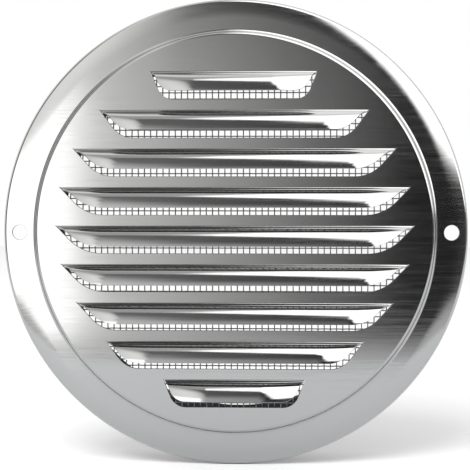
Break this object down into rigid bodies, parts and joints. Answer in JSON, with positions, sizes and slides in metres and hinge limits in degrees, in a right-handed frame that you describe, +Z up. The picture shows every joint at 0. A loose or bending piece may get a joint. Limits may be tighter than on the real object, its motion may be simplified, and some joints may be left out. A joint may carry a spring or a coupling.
{
  "type": "wall vent",
  "caption": "Round louvred wall vent of pressed steel with hoods that open downward, an insect screen and a rear spigot collar that slides into a round duct.",
  "frame": {"origin": "where the duct's axis meets the plane of the wall", "axes": "+Z up, +Y from the wall into the duct along the collar's axis, so the louvred front looks along -Y, +X to the right as seen from the front"},
  "size_m": [0.155, 0.0287, 0.155],
  "materials": {
    "cover_steel": "bright polished stainless sheet with a faint rolled grain",
    "collar_steel": "bright rolled stainless sheet",
    "wire_steel": "drawn stainless wire"
  },
  "bodies": {
    "root": {"louvred_cover": "cover_steel", "spigot_collar": "collar_steel", "screen_upright_wires": "wire_steel", "screen_level_wires": "wire_steel"}
  },
  "joints": []
}
